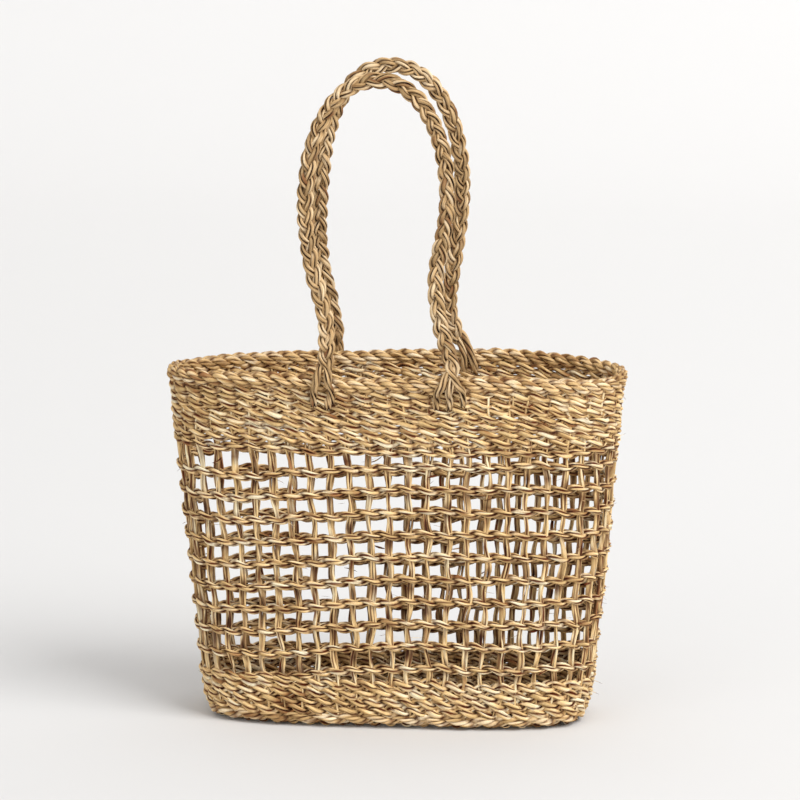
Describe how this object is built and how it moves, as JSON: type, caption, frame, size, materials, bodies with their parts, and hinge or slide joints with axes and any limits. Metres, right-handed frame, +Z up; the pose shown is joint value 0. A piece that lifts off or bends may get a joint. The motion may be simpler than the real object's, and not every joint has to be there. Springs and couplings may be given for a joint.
{
  "type": "seagrass storage basket",
  "caption": "Oval open-net basket of twined seagrass, with a tight band at the rim and foot and two long braided loop handles that fold outwards.",
  "frame": {"origin": "on the floor under the middle of the basket", "axes": "+Z up, +X along the basket's length to the right seen from the front, front is -Y"},
  "size_m": [0.3994, 0.1758, 0.573],
  "materials": {
    "twined_seagrass": "dry natural seagrass, matte",
    "border_rope": "dry natural seagrass, matte",
    "warp_cord": "dry natural seagrass, matte",
    "handle_braid": "dry natural seagrass, matte"
  },
  "bodies": {
    "basket": {"base_mat_inner": "twined_seagrass", "base_mat_under": "twined_seagrass", "cross_cord_01": "warp_cord", "cross_cord_02": "warp_cord", "cross_cord_03": "warp_cord", "cross_cord_04": "warp_cord", "cross_cord_05": "warp_cord", "cross_cord_06": "warp_cord", "cross_cord_07": "warp_cord", "cross_cord_08": "warp_cord", "cross_cord_09": "warp_cord", "cross_cord_10": "warp_cord", "cross_cord_11": "warp_cord", "cross_cord_12": "warp_cord", "cross_cord_13": "warp_cord", "cross_cord_14": "warp_cord", "cross_cord_15": "warp_cord", "cross_cord_16": "warp_cord", "cross_cord_17": "warp_cord", "cross_cord_18": "warp_cord", "cross_cord_19": "warp_cord", "cross_cord_20": "warp_cord", "cross_cord_21": "warp_cord", "end_cord_front_1": "warp_cord", "end_cord_front_2": "warp_cord", "end_cord_front_3": "warp_cord", "end_cord_rear_1": "warp_cord", "end_cord_rear_2": "warp_cord", "end_cord_rear_3": "warp_cord", "foot_rope": "border_rope", "front_left_anchor": "handle_braid", "front_right_anchor": "handle_braid", "lower_row_1": "twined_seagrass", "lower_row_2": "twined_seagrass", "lower_row_3": "twined_seagrass", "lower_row_4": "twined_seagrass", "net_course_01": "twined_seagrass", "net_course_02": "twined_seagrass", "net_course_03": "twined_seagrass", "net_course_04": "twined_seagrass", "net_course_05": "twined_seagrass", "net_course_06": "twined_seagrass", "net_course_07": "twined_seagrass", "net_course_08": "twined_seagrass", "net_course_09": "twined_seagrass", "net_course_10": "twined_seagrass", "net_course_11": "twined_seagrass", "rear_left_anchor": "handle_braid", "rear_right_anchor": "handle_braid", "rim_rope": "border_rope", "upper_row_1": "twined_seagrass", "upper_row_2": "twined_seagrass", "upper_row_3": "twined_seagrass", "upper_row_4": "twined_seagrass", "upper_row_5": "twined_seagrass", "upper_row_6": "twined_seagrass", "upper_row_7": "twined_seagrass"},
    "front_handle": {"front_handle_braid": "handle_braid"},
    "rear_handle": {"rear_handle_braid": "handle_braid"}
  },
  "joints": [
    {"name": "front_handle_fold", "type": "hinge", "parent": "basket", "child": "front_handle", "pos_m": [0, -0.0782, 0.3206], "axis": [1, 0, 0], "range_deg": [-11, 95]},
    {"name": "rear_handle_fold", "type": "hinge", "parent": "basket", "child": "rear_handle", "pos_m": [0, 0.0782, 0.3206], "axis": [-1, 0, 0], "range_deg": [-11, 95]}
  ]
}
